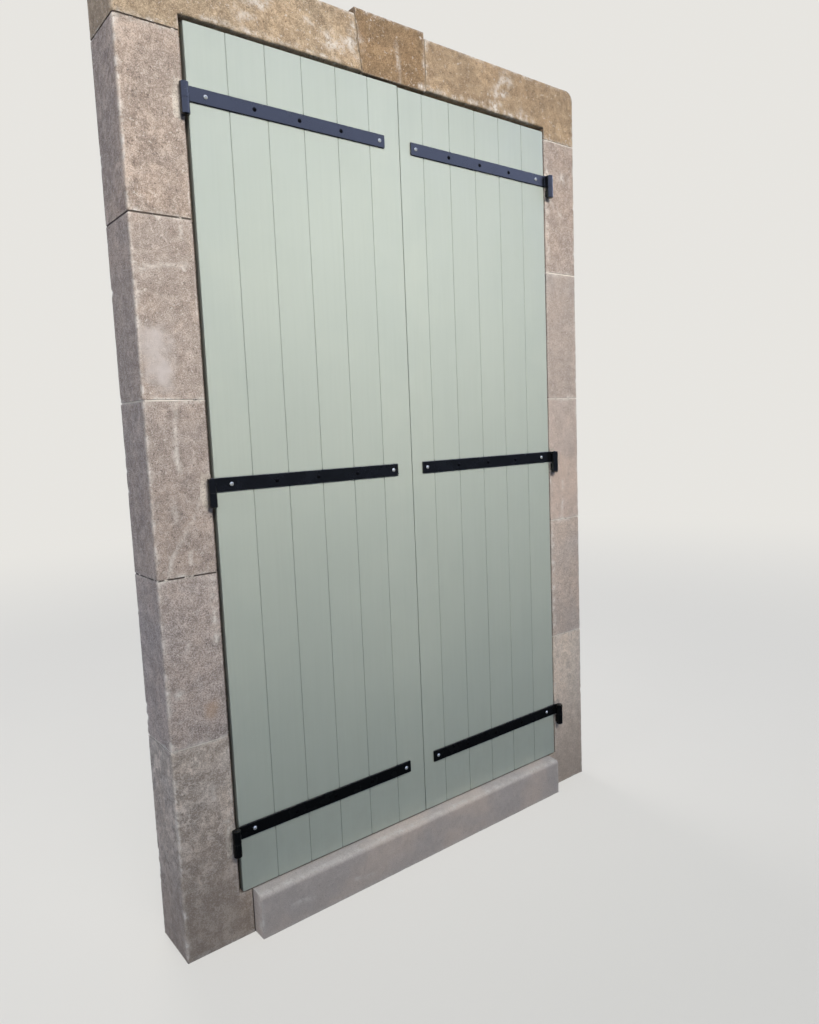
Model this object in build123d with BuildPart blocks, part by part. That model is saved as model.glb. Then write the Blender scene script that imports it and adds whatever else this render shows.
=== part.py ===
from build123d import *
import os

os.makedirs("parts", exist_ok=True)

# A pair of outward-opening boarded shutters in a rebated stone surround.
# Millimetres. X runs along the wall, seen from outside. Y runs into the wall, and the front
# face of the stone is Y = 0. Z is up. The origin is at the foot, in the middle of the opening.

# Leaves
board_cover = 116.0
boards_per_leaf = 6
board_thickness = 27.0
leaf_height = 2400.0
right_leaf_drop = 3.5
hinge_gap_left = 12.0
hinge_gap_right = 6.0
head_gap = 11.0
bottom_gap = 4.0
meeting_gap = 2.0
lip_overlap = 18.0
lip_thickness = 12.5
lip_clearance = 2.0
groove_bevel = 2.0
edge_bevel = 1.5
tongue_length = 9.0
tongue_thickness = 8.0
tongue_clearance = 0.4

# Ledges across the inner face
ledge_height = 110.0
ledge_thickness = 27.0
ledge_bevel = 6.0
ledge_reveal_clearance = 5.0
ledge_meeting_inset = 10.0

# Strap hinges
strap_width = 38.5
strap_thickness = 5.0
strap_edge_bevel = 0.8
strap_end_inset = 62.0
lower_strap_inset = 182.0
upper_strap_inset = 180.0
middle_strap_drop = 3.0
first_hole = 63.0
last_hole_from_tip = 19.0
holes_per_strap = 5
pin_diameter = 14.0
pin_clearance = 0.05
pin_proud = 1.5
pin_chamfer = 1.5
axis_forward = 16.0
hinge_overhang = 16.0
crank_start = 3.0
seam_width = 1.0
seam_start = 2.0

# Fixings
hole_clearance = 0.2
bolt_diameter = 7.0
bolt_head_diameter = 13.0
bolt_head_height = 3.5
bolt_end = 2.0
washer_diameter = 16.0
washer_thickness = 1.5
nut_flats = 11.0
nut_thickness = 5.5
screw_diameter = 5.0
screw_head_diameter = 12.0
screw_head_height = 3.0
screw_tip_cover = 12.0
wood_screw_diameter = 4.0
wood_screw_head = 9.0
wood_screw_cover = 9.0
wood_screw_stagger = 32.0

# Stone surround
jamb_width = 168.0
stone_depth = 180.0
rebate_width = 39.0
rebate_play = 3.0
threshold_height = 136.0
lintel_height = 162.0
lintel_corner_radius = 35.0
keystone_rise = 19.0
keystone_drop = 2.0
keystone_left = -121.0
keystone_right = 132.0
keystone_splay = 20.0
left_joints = (620.0, 1096.0, 1571.0, 2043.0)
right_joints = (620.0, 1087.0, 1560.0, 2033.0)
joint_width = 4.0
mortar_recess = 2.5
arris_bevel = 2.5
sill_projection = 50.0
sill_fall = 3.0
sill_nose_radius = 14.0
sill_end_joint = 3.0

# Pintles, set in pockets of the jamb stones
pintle_body_height = 41.0
pintle_foot_bevel = 2.0
pintle_shoulder_bevel = 1.0
tail_width = 10.0
tail_height = 26.0
tail_length = 80.0
tail_from_arris = 7.0
pocket_width = 26.0
pocket_end_cover = 12.0
pocket_below_body = 6.0
pocket_above_eye = 12.0

# Locking rod on the inner face of the left leaf
rod_diameter = 14.0
rod_from_edge = 32.0
rod_stand_off = 12.0
rod_end_gap = 12.0
running_clearance = 0.05
shoulder_diameter = 22.0
shoulder_height = 6.0
shoulder_play = 0.5
claw_reach = 30.0
claw_width = 10.0
claw_height = 12.0
collar_wall = 4.3
collar_height = 20.0
collar_flange_diameter = 18.0
collar_flange_thickness = 3.0
collar_shank_diameter = 8.0
collar_shank_cover = 5.0
keeper_width = 14.0
keeper_thickness = 8.0
keeper_play = 1.0
keeper_side_gap = 9.0
keeper_reach = 24.0
keeper_tail = 40.0
keeper_bevel = 3.0

# Handle of the rod
handle_height = 960.0
pivot_offset = 19.0
fork_width = 20.0
fork_end_radius = 12.0
fork_root = 9.0
handle_thickness = 8.0
handle_width = 14.0
handle_tip_width = 9.0
handle_length = 130.0
handle_eye_radius = 9.0
handle_side_play = 0.3
knob_radius = 10.0
handle_pin_diameter = 6.0
handle_pin_head = 10.0
handle_pin_head_height = 2.0
rest_from_edge = 76.0
rest_width = 18.0
rest_thickness = 5.0
rest_lip = 12.0
rest_play = 1.0
rest_side_play = 2.0
rest_plate_height = 64.0
rest_plate_thickness = 3.0
rest_screw_pitch = 42.0
rest_screw_length = 20.0

# Derived sizes of the opening and the leaves
leaf_width = boards_per_leaf * board_cover
opening_width = hinge_gap_left + 2 * leaf_width - lip_overlap + hinge_gap_right
opening_edge = opening_width / 2
outer_edge = opening_edge + jamb_width
reveal_edge = opening_edge - rebate_width
rebate_depth = board_thickness + rebate_play
leaf_bottom = threshold_height + bottom_gap
left_leaf_top = leaf_bottom + leaf_height
right_leaf_top = left_leaf_top - right_leaf_drop
opening_head = left_leaf_top + head_gap
half_joint = joint_width / 2
bed_height = opening_head - rebate_width
lintel_soffit = bed_height + half_joint
lintel_top = opening_head + lintel_height
keystone_top = lintel_top + keystone_rise
left_stile = -opening_edge + hinge_gap_left
right_stile = opening_edge - hinge_gap_right
left_lip = left_stile + leaf_width
right_tongue = right_stile - leaf_width
meeting_step = lip_overlap + meeting_gap
ledge_face = board_thickness + ledge_thickness

# Derived sizes of the hinges
strap_reach = hinge_overhang + leaf_width - strap_end_inset
hole_pitch = (strap_reach - last_hole_from_tip - first_hole) / (holes_per_strap - 1)
bottom_level = leaf_bottom + lower_strap_inset
top_level = left_leaf_top - upper_strap_inset
levels = {
    "bottom": bottom_level,
    "middle": (bottom_level + top_level) / 2 - middle_strap_drop,
    "top": top_level,
}
pin_radius = pin_diameter / 2
eye_bore = pin_radius + pin_clearance
eye_radius = eye_bore + strap_thickness
eye_back = axis_forward - eye_radius
screw_into_ledge = ledge_thickness - screw_tip_cover

# Derived sizes of the locking rod
rod_x = left_lip - meeting_step - rod_from_edge
rod_y = ledge_face + rod_stand_off
rod_bottom = threshold_height + rod_end_gap
rod_top = lintel_soffit - rod_end_gap
handle_z = leaf_bottom + handle_height
pivot_y = rod_y + pivot_offset
keeper_x = rod_x + keeper_side_gap + claw_width / 2 + keeper_width / 2
keeper_y = rod_y - claw_width / 2 - keeper_play - keeper_thickness / 2
rest_x = right_tongue + rest_from_edge

# Rotations that point a feature's own axis out of the wall, into the room or along the wall
facing_out = (90, 0, 0)
facing_in = (-90, 0, 0)
facing_right = (0, 90, 0)

# Where a block stands on its place: on its foot, from its top or into the wall
standing = (Align.CENTER, Align.CENTER, Align.MIN)
hanging = (Align.CENTER, Align.CENTER, Align.MAX)
going_in = (Align.CENTER, Align.MIN, Align.MIN)
going_in_centred = (Align.CENTER, Align.MIN, Align.CENTER)


def finish(part, label):
    """Label a finished piece and write its file."""
    part.label = label
    export_step(part, f"parts/{label}.step")


leaves = {
    "left": {
        "axis": -opening_edge + hinge_gap_left - hinge_overhang,
        "towards": 1,
        "start": left_stile,
        "top": left_leaf_top,
        "ledge": (
            -reveal_edge + ledge_reveal_clearance,
            left_lip - meeting_step - ledge_meeting_inset,
        ),
    },
    "right": {
        "axis": right_stile + hinge_overhang,
        "towards": -1,
        "start": right_tongue,
        "top": right_leaf_top,
        "ledge": (
            right_tongue + ledge_meeting_inset,
            reveal_edge - ledge_reveal_clearance,
        ),
    },
}
for leaf in leaves.values():
    reaches = [first_hole + hole_pitch * i for i in range(holes_per_strap)]
    leaf["holes"] = [leaf["axis"] + leaf["towards"] * reach for reach in reaches]

# Countersunk screws of a leaf, each as the place of its head and its length
for leaf in leaves.values():
    leaf["screws"] = []
    for number in range(boards_per_leaf):
        x = leaf["start"] + board_cover * (number + 0.5)
        rise = wood_screw_stagger if number % 2 == 0 else -wood_screw_stagger
        for level in levels.values():
            leaf["screws"].append(((x, ledge_face, level + rise), ledge_face - wood_screw_cover))
for z in (handle_z - rest_screw_pitch / 2, handle_z + rest_screw_pitch / 2):
    seat = (rest_x, board_thickness + rest_plate_thickness, z)
    leaves["right"]["screws"].append((seat, rest_screw_length))


# Jamb stones

def jamb_plan(side, recess):
    """Plan of a jamb rebated for the leaf, drawn in by recess on every face."""
    return [
        (side * (outer_edge - recess), recess),
        (side * (opening_edge + recess), recess),
        (side * (opening_edge + recess), rebate_depth + recess),
        (side * (reveal_edge + recess), rebate_depth + recess),
        (side * (reveal_edge + recess), stone_depth - recess),
        (side * (outer_edge - recess), stone_depth - recess),
    ]


def pocket_place(side, level):
    """Front middle of the lower face of the pocket for the pintle at this level."""
    low = level - strap_width / 2 - pintle_body_height - pocket_below_body
    return (side * (opening_edge + pocket_width / 2), 0, low)


pocket_depth = tail_length + pocket_end_cover
pocket_height = pocket_below_body + pintle_body_height + strap_width + pocket_above_eye


def make_jamb(side, side_name, joints):
    """Build the stones of one jamb from the foot up, with the pockets for its pintles."""
    beds = [0.0, *joints, bed_height]
    for number, (low, high) in enumerate(zip(beds[:-1], beds[1:]), start=1):
        bottom = low if number == 1 else low + half_joint
        top = high - half_joint
        with BuildPart() as stone:
            with BuildSketch(Plane.XY.offset(bottom)):
                Polygon(*jamb_plan(side, 0), align=None)
            extrude(amount=top - bottom)
            if number == 1:
                foot_width = outer_edge - reveal_edge
                with Locations((side * (reveal_edge + foot_width / 2), 0, 0)):
                    Box(foot_width, stone_depth, threshold_height, align=going_in)
            front = stone.faces().filter_by(Axis.Y).sort_by(Axis.Y)[0]
            uprights = front.edges().filter_by(Axis.Z)
            arrises = [edge for edge in uprights if abs(edge.center().X) > opening_edge - joint_width]
            chamfer(arrises, length=arris_bevel)
            for level in levels.values():
                if low < level < high:
                    with Locations(pocket_place(side, level)):
                        Box(pocket_width, pocket_depth, pocket_height, align=going_in, mode=Mode.SUBTRACT)
        finish(stone.part, f"{side_name}_jamb_stone_{number}")


make_jamb(-1, "left", left_joints)
make_jamb(1, "right", right_joints)


# Lintel stones and sill

def keystone_side(z):
    """X of the keystone's splayed left side at height z."""
    return keystone_left - keystone_splay * (z - opening_head) / (keystone_top - opening_head)


def make_lintel_stone(outline, soffit, outer_side, label):
    """Extrude one lintel stone, cut its rebate and ease its front arrises."""
    with BuildPart() as stone:
        with BuildSketch(Plane.XZ):
            Polygon(*outline, align=None)
        extrude(amount=-stone_depth)
        if outer_side:
            top_corners = stone.edges().filter_by(Axis.Y).group_by(Axis.Z)[-1].sort_by(Axis.X)
            fillet(top_corners[0] if outer_side < 0 else top_corners[-1], radius=lintel_corner_radius)
        with Locations((0, 0, soffit)):
            Box(opening_width, 2 * rebate_depth, soffit - bed_height, align=hanging, mode=Mode.SUBTRACT)
        front = stone.faces().filter_by(Axis.Y).sort_by(Axis.Y)[0]
        level_edges = front.edges().filter_by(Axis.X)
        arrises = [edge for edge in level_edges if edge.center().Z > soffit - joint_width]
        chamfer(arrises, length=arris_bevel)
        if not outer_side:
            with Locations((keeper_x, keeper_y, lintel_soffit)):
                Box(keeper_width, keeper_thickness, keeper_tail, align=standing, mode=Mode.SUBTRACT)
    finish(stone.part, label)


make_lintel_stone(
    [
        (-outer_edge, lintel_soffit),
        (keystone_side(lintel_soffit) - half_joint, lintel_soffit),
        (keystone_side(lintel_top) - half_joint, lintel_top),
        (-outer_edge, lintel_top),
    ],
    opening_head,
    -1,
    "lintel_left",
)
make_lintel_stone(
    [
        (keystone_side(lintel_soffit) + half_joint, lintel_soffit),
        (keystone_right - half_joint, lintel_soffit),
        (keystone_right - half_joint, keystone_top),
        (keystone_side(keystone_top) + half_joint, keystone_top),
    ],
    opening_head - keystone_drop,
    0,
    "lintel_keystone",
)
make_lintel_stone(
    [
        (keystone_right + half_joint, lintel_soffit),
        (outer_edge, lintel_soffit),
        (outer_edge, lintel_top),
        (keystone_right + half_joint, lintel_top),
    ],
    opening_head,
    1,
    "lintel_right",
)

with BuildPart() as sill:
    with BuildSketch(Plane.YZ):
        Polygon(
            (stone_depth, 0),
            (stone_depth, threshold_height),
            (0, threshold_height),
            (-sill_projection, threshold_height - sill_fall),
            (-sill_projection, 0),
            align=None,
        )
    extrude(amount=reveal_edge - sill_end_joint, both=True)
    nose = sill.edges().filter_by(Axis.X).group_by(Axis.Y)[0].sort_by(Axis.Z)[-1]
    fillet(nose, radius=sill_nose_radius)
    with Locations((keeper_x, keeper_y, threshold_height)):
        Box(keeper_width, keeper_thickness, keeper_tail, align=hanging, mode=Mode.SUBTRACT)
finish(sill.part, "sill")

with BuildPart() as mortar_joints:
    with BuildSketch(Plane.XZ.offset(-mortar_recess)):
        joint_low = lintel_soffit + mortar_recess
        joint_high = lintel_top - mortar_recess
        for x_low, x_high in (
            (keystone_side(joint_low), keystone_side(joint_high)),
            (keystone_right, keystone_right),
        ):
            Polygon(
                (x_low - half_joint, joint_low),
                (x_low + half_joint, joint_low),
                (x_high + half_joint, joint_high),
                (x_high - half_joint, joint_high),
                align=None,
            )
    extrude(amount=-(stone_depth - 2 * mortar_recess))
    with Locations((0, 0, opening_head + mortar_recess)):
        rebate_back = rebate_depth + mortar_recess
        Box(opening_width, 2 * rebate_back, rebate_width, align=hanging, mode=Mode.SUBTRACT)
    for side, joints in ((-1, left_joints), (1, right_joints)):
        for height in (*joints, bed_height):
            with BuildSketch(Plane.XY.offset(height - half_joint)):
                Polygon(*jamb_plan(side, mortar_recess), align=None)
            extrude(amount=joint_width)
        with Locations((side * (reveal_edge - sill_end_joint / 2), mortar_recess, 0)):
            Box(
                sill_end_joint,
                stone_depth - 2 * mortar_recess,
                threshold_height - mortar_recess,
                align=going_in,
            )
finish(mortar_joints.part, "mortar_joints")


# Pintles and the mortar round their tails

def tail_place(side, level, y):
    """Front middle of a pintle's tail, starting at depth y."""
    tail_z = level - strap_width / 2 - pintle_body_height / 2
    return (side * (opening_edge + tail_from_arris), y, tail_z)


with BuildPart() as pintle_grout:
    for side in (-1, 1):
        for level in levels.values():
            with Locations(pocket_place(side, level)):
                Box(pocket_width, pocket_depth, pocket_height, align=going_in)
            with Locations(tail_place(side, level, 0)):
                Box(tail_width, tail_length, tail_height, align=going_in_centred, mode=Mode.SUBTRACT)
finish(pintle_grout.part, "pintle_grout")


def make_pintle(side, axis_x, level, label):
    """Forged pintle: pin, round body and a flat tail that is set in the jamb."""
    shoulder = level - strap_width / 2
    with BuildPart() as pintle:
        with Locations((axis_x, -axis_forward, shoulder)):
            Cylinder(eye_radius, pintle_body_height, align=hanging)
        rims = pintle.edges().filter_by(GeomType.CIRCLE).sort_by(Axis.Z)
        chamfer(rims[0], length=pintle_foot_bevel)
        chamfer(rims[-1], length=pintle_shoulder_bevel)
        with Locations((axis_x, -axis_forward, shoulder)):
            Cylinder(pin_radius, strap_width + pin_proud, align=standing)
        tip = pintle.edges().filter_by(GeomType.CIRCLE).sort_by(Axis.Z)[-1]
        chamfer(tip, length=pin_chamfer)
        with Locations(tail_place(side, level, -axis_forward)):
            Box(tail_width, axis_forward + tail_length, tail_height, align=going_in_centred)
    finish(pintle.part, label)


for place, level in levels.items():
    make_pintle(-1, leaves["left"]["axis"], level, f"left_pintle_{place}")
    make_pintle(1, leaves["right"]["axis"], level, f"right_pintle_{place}")

with BuildPart() as rod_keepers:
    for root, align in (
        (lintel_soffit + keeper_tail, hanging),
        (threshold_height - keeper_tail, standing),
    ):
        with Locations((keeper_x, keeper_y, root)):
            Box(keeper_width, keeper_thickness, keeper_tail + keeper_reach, align=align)
    level_edges = rod_keepers.edges().filter_by(Axis.Y).group_by(Axis.Z)
    chamfer(level_edges[1] + level_edges[2], length=keeper_bevel)
finish(rod_keepers.part, "rod_keepers")


# Boards: an edge is a list of points from the front face to the back, as (outward, depth)

tongue_front = (board_thickness - tongue_thickness) / 2
tongue_back = tongue_front + tongue_thickness
groove_front = tongue_front - tongue_clearance
groove_back = tongue_back + tongue_clearance
groove_depth = tongue_length + tongue_clearance
covered_front = lip_thickness + lip_clearance

board_edges = {
    "plain": [
        (-edge_bevel, 0),
        (0, edge_bevel),
        (0, board_thickness - edge_bevel),
        (-edge_bevel, board_thickness),
    ],
    "tongue": [
        (-groove_bevel, 0),
        (0, groove_bevel),
        (0, tongue_front),
        (tongue_length, tongue_front),
        (tongue_length, tongue_back),
        (0, tongue_back),
        (0, board_thickness),
    ],
    "groove": [
        (-groove_bevel, 0),
        (0, groove_bevel),
        (0, groove_front),
        (-groove_depth, groove_front),
        (-groove_depth, groove_back),
        (0, groove_back),
        (0, board_thickness),
    ],
    "lip": [
        (-edge_bevel, 0),
        (0, edge_bevel),
        (0, lip_thickness),
        (-meeting_step, lip_thickness),
        (-meeting_step, board_thickness),
    ],
    "covered": [
        (-meeting_step - edge_bevel, 0),
        (-meeting_step, edge_bevel),
        (-meeting_step, covered_front),
        (0, covered_front),
        (0, board_thickness),
    ],
}


def is_bolt(index):
    """The first and last fixings of a strap are bolts, those between are screws."""
    return index in (0, holes_per_strap - 1)


def fixing_hole_radius(index):
    """Radius of the hole that a strap fixing needs."""
    diameter = bolt_diameter if is_bolt(index) else screw_diameter
    return diameter / 2 + hole_clearance


def make_board(leaf, number, low_edge, high_edge, label):
    """Extrude one board upwards and drill it for the fixings that enter it."""
    x_low = leaf["start"] + board_cover * (number - 1)
    x_high = x_low + board_cover
    outline = [(x_low - out, depth) for out, depth in reversed(board_edges[low_edge])]
    outline += [(x_high + out, depth) for out, depth in board_edges[high_edge]]
    with BuildPart() as board:
        with BuildSketch(Plane.XY.offset(leaf_bottom)):
            Polygon(*outline, align=None)
        extrude(amount=leaf["top"] - leaf_bottom)
        for level in levels.values():
            for index, x in enumerate(leaf["holes"]):
                reach = tongue_length + fixing_hole_radius(index)
                if x_low - reach < x < x_high + reach:
                    with Locations(Location((x, 0, level), facing_out)):
                        Hole(fixing_hole_radius(index))
        for (x, seat, z), length in leaf["screws"]:
            if x_low < x < x_high:
                with Locations(Location((x, board_thickness, z), facing_in)):
                    Hole(
                        wood_screw_diameter / 2 + hole_clearance,
                        depth=length - (seat - board_thickness),
                    )
    finish(board.part, label)


for number in range(1, boards_per_leaf + 1):
    at_start = number == 1
    at_end = number == boards_per_leaf
    left_edges = ("plain" if at_start else "groove", "lip" if at_end else "tongue")
    right_edges = ("covered" if at_start else "tongue", "plain" if at_end else "groove")
    make_board(leaves["left"], number, *left_edges, f"left_board_{number}")
    make_board(leaves["right"], number, *right_edges, f"right_board_{number}")


# Ledges, with their long inner edges bevelled

def make_ledge(name, level, label):
    """One ledge with the holes for strap fixings, ledge screws and the rod's collar."""
    leaf = leaves[name]
    x_low, x_high = leaf["ledge"]
    with BuildPart() as ledge:
        with Locations(((x_low + x_high) / 2, board_thickness, level)):
            Box(x_high - x_low, ledge_thickness, ledge_height, align=going_in_centred)
        inner = ledge.faces().filter_by(Axis.Y).sort_by(Axis.Y)[-1]
        chamfer(inner.edges().filter_by(Axis.X), length=ledge_bevel)
        for index, x in enumerate(leaf["holes"]):
            depth = ledge_thickness if is_bolt(index) else screw_into_ledge
            with Locations(Location((x, board_thickness, level), facing_out)):
                Hole(fixing_hole_radius(index), depth=depth)
        for (x, seat, z), length in leaf["screws"]:
            if seat == ledge_face and abs(z - level) < ledge_height / 2:
                with Locations(Location((x, ledge_face, z), facing_in)):
                    CounterSinkHole(
                        wood_screw_diameter / 2 + hole_clearance,
                        wood_screw_head / 2 + hole_clearance,
                        counter_sink_angle=90,
                    )
        if name == "left":
            with Locations(Location((rod_x, ledge_face, level), facing_in)):
                Hole(
                    collar_shank_diameter / 2 + hole_clearance,
                    depth=ledge_thickness - collar_shank_cover,
                )
    finish(ledge.part, label)


for name in leaves:
    for place, level in levels.items():
        make_ledge(name, level, f"{name}_ledge_{place}")


# Strap hinges: a flat bar, cranked forward and rolled into an eye

def make_strap(leaf, level, label):
    """One strap, drawn in plan and extruded over its width."""

    def at(reach, y):
        """Point of the plan at a distance from the hinge axis along the leaf."""
        return (leaf["axis"] + leaf["towards"] * reach, y)

    with BuildPart() as strap:
        with BuildSketch(Plane.XY.offset(level - strap_width / 2)):
            Polygon(
                at(0, -eye_back),
                at(crank_start, -eye_back),
                at(hinge_overhang, 0),
                at(strap_reach, 0),
                at(strap_reach, -strap_thickness),
                at(hinge_overhang, -strap_thickness),
                at(crank_start, -eye_back - strap_thickness),
                at(0, -eye_back - strap_thickness),
                align=None,
            )
            with Locations(at(0, -axis_forward)):
                Circle(eye_radius)
                Circle(eye_bore, mode=Mode.SUBTRACT)
            with Locations(at((seam_start + eye_radius) / 2, -eye_back - strap_thickness - seam_width / 2)):
                Rectangle(eye_radius - seam_start, seam_width, mode=Mode.SUBTRACT)
        extrude(amount=strap_width)
        flats = strap.faces().filter_by(Axis.Y).sort_by(Axis.Y)
        face = flats.sort_by(SortBy.AREA)[-2:].sort_by(Axis.Y)[0]
        chamfer(face.edges().filter_by(Axis.X), length=strap_edge_bevel)
        for index, x in enumerate(leaf["holes"]):
            with Locations(Location((x, -strap_thickness, level), facing_out)):
                Hole(fixing_hole_radius(index), depth=strap_thickness)
    finish(strap.part, label)


for name, leaf in leaves.items():
    for place, level in levels.items():
        make_strap(leaf, level, f"{name}_strap_{place}")


# Fixings

def make_domed_fixings(leaf, bolts, head, height, diameter, length, label):
    """Domed heads on the straps with their shanks, as separate solids of one group."""
    dome = (head**2 / 4 + height**2) / (2 * height)
    with BuildPart() as fixings:
        for level in levels.values():
            for index, x in enumerate(leaf["holes"]):
                if is_bolt(index) == bolts:
                    seat = Plane((x, -strap_thickness, level), (1, 0, 0), (0, 0, 1))
                    with BuildSketch(seat):
                        with BuildLine():
                            RadiusArc((0, -height), (head / 2, 0), dome)
                            Polyline(
                                (head / 2, 0),
                                (diameter / 2, 0),
                                (diameter / 2, length),
                                (0, length),
                                (0, -height),
                            )
                        make_face()
                    revolve(axis=Axis((x, 0, level), (0, 1, 0)))
    finish(fixings.part, label)


def make_nuts(leaf, label):
    """Washer and hexagon nut on the inner end of each strap bolt."""
    bore = bolt_diameter / 2 + hole_clearance
    with BuildPart() as nuts:
        for level in levels.values():
            for x in (leaf["holes"][0], leaf["holes"][-1]):
                with BuildSketch(Plane((x, ledge_face, level), (1, 0, 0), (0, 1, 0))):
                    Circle(washer_diameter / 2)
                    Circle(bore, mode=Mode.SUBTRACT)
                extrude(amount=washer_thickness)
                with BuildSketch(Plane((x, ledge_face, level), (1, 0, 0), (0, 1, 0))):
                    RegularPolygon(nut_flats / 2, 6, major_radius=False)
                    Circle(bore, mode=Mode.SUBTRACT)
                extrude(amount=washer_thickness + nut_thickness)
    finish(nuts.part, label)


def make_wood_screws(screws, label):
    """Countersunk screws as separate solids of one group."""
    sink = (wood_screw_head - wood_screw_diameter) / 2
    with BuildPart() as wood_screws:
        for head, length in screws:
            with Locations(Location(head, facing_in)):
                Cone(wood_screw_diameter / 2, wood_screw_head / 2, sink, align=hanging)
                Cylinder(wood_screw_diameter / 2, length, align=hanging)
    finish(wood_screws.part, label)


bolt_length = strap_thickness + ledge_face + washer_thickness + nut_thickness + bolt_end
screw_length = strap_thickness + board_thickness + screw_into_ledge

for name, leaf in leaves.items():
    make_domed_fixings(
        leaf,
        True,
        bolt_head_diameter,
        bolt_head_height,
        bolt_diameter,
        bolt_length,
        f"{name}_strap_bolts",
    )
    make_domed_fixings(
        leaf,
        False,
        screw_head_diameter,
        screw_head_height,
        screw_diameter,
        screw_length,
        f"{name}_strap_screws",
    )
    make_nuts(leaf, f"{name}_bolt_nuts")
    make_wood_screws(leaf["screws"], f"{name}_ledge_screws")


# Locking rod: a claw at each end, two shoulders and a fork for the handle

rod_bore = rod_diameter / 2 + running_clearance
collar_half = collar_height / 2 + shoulder_play
pin_span = fork_width + 2 * handle_pin_head_height

with BuildPart() as locking_rod:
    with Locations((rod_x, rod_y, rod_bottom)):
        Cylinder(rod_diameter / 2, rod_top - rod_bottom, align=standing)
    for claw_z in (rod_bottom, rod_top - claw_height):
        with BuildSketch(Plane.XY.offset(claw_z)):
            straight = claw_reach - claw_width / 2
            with Locations((rod_x, rod_y)):
                Rectangle(claw_width, straight, align=(Align.CENTER, Align.MIN))
            with Locations((rod_x, rod_y + straight)):
                Circle(claw_width / 2)
        extrude(amount=claw_height)
    for shoulder_z, align in (
        (levels["bottom"] + collar_half, standing),
        (levels["top"] - collar_half, hanging),
    ):
        with Locations((rod_x, rod_y, shoulder_z)):
            Cylinder(shoulder_diameter / 2, shoulder_height, align=align)
    with BuildSketch(Plane.YZ.offset(rod_x)):
        with Locations((pivot_y, handle_z)):
            Circle(fork_end_radius)
        with Locations((rod_y, handle_z)):
            Rectangle(pivot_offset, 2 * fork_end_radius, align=(Align.MIN, Align.CENTER))
    extrude(amount=fork_width / 2, both=True)
    with Locations((rod_x, rod_y + fork_root, handle_z)):
        Box(
            handle_thickness + 2 * handle_side_play,
            pivot_offset + fork_end_radius,
            2 * fork_end_radius,
            align=going_in_centred,
            mode=Mode.SUBTRACT,
        )
    with Locations(Location((rod_x, pivot_y, handle_z), facing_right)):
        Hole(handle_pin_diameter / 2 + running_clearance)
finish(locking_rod.part, "locking_rod")

with BuildPart() as handle_pin:
    with Locations(Location((rod_x, pivot_y, handle_z), facing_right)):
        Cylinder(handle_pin_diameter / 2, pin_span)
    for side in (-1, 1):
        head_x = rod_x + side * (fork_width + handle_pin_head_height) / 2
        with Locations(Location((head_x, pivot_y, handle_z), facing_right)):
            Cylinder(handle_pin_head / 2, handle_pin_head_height)
finish(handle_pin.part, "handle_pin")

with BuildPart() as rod_handle:
    with BuildSketch(Plane.YZ.offset(rod_x)):
        Polygon(
            (pivot_y - handle_width / 2, handle_z),
            (pivot_y + handle_width / 2, handle_z),
            (pivot_y + handle_tip_width / 2, handle_z - handle_length),
            (pivot_y - handle_tip_width / 2, handle_z - handle_length),
            align=None,
        )
        with Locations((pivot_y, handle_z)):
            Circle(handle_eye_radius)
    extrude(amount=handle_thickness / 2, both=True)
    with Locations((rod_x, pivot_y, handle_z - handle_length)):
        Sphere(knob_radius)
    with Locations(Location((rod_x, pivot_y, handle_z), facing_right)):
        Hole(handle_pin_diameter / 2 + running_clearance)
finish(rod_handle.part, "rod_handle")

with BuildPart() as rod_collars:
    ring_radius = rod_bore + collar_wall
    for level in levels.values():
        with Locations((rod_x, rod_y, level)):
            Cylinder(ring_radius, collar_height)
        with Locations(Location((rod_x, ledge_face, level), facing_out)):
            Cylinder(collar_flange_diameter / 2, collar_flange_thickness, align=hanging)
            Cylinder(
                collar_shank_diameter / 2,
                ledge_thickness - collar_shank_cover,
                align=standing,
            )
        with Locations((rod_x, rod_y, level)):
            Cylinder(rod_bore, collar_height, mode=Mode.SUBTRACT)
finish(rod_collars.part, "rod_collars")

with BuildPart() as handle_rest:
    plate_face = board_thickness + rest_plate_thickness
    shelf = handle_z - handle_width / 2 - rest_play
    lip_face = rod_y + handle_thickness / 2 + rest_side_play
    with BuildSketch(Plane.YZ.offset(rest_x)):
        Polygon(
            (board_thickness, handle_z - rest_plate_height / 2),
            (board_thickness, handle_z + rest_plate_height / 2),
            (plate_face, handle_z + rest_plate_height / 2),
            (plate_face, shelf),
            (lip_face, shelf),
            (lip_face, shelf + rest_lip),
            (lip_face + rest_thickness, shelf + rest_lip),
            (lip_face + rest_thickness, shelf - rest_thickness),
            (plate_face, shelf - rest_thickness),
            (plate_face, handle_z - rest_plate_height / 2),
            align=None,
        )
    extrude(amount=rest_width / 2, both=True)
    for (x, seat, z), length in leaves["right"]["screws"]:
        if seat == plate_face:
            with Locations(Location((x, seat, z), facing_in)):
                CounterSinkHole(
                    wood_screw_diameter / 2 + hole_clearance,
                    wood_screw_head / 2 + hole_clearance,
                    counter_sink_angle=90,
                )
finish(handle_rest.part, "handle_rest")
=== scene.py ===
import math

import bmesh
import bpy
from mathutils import Matrix, Vector, noise


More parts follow.
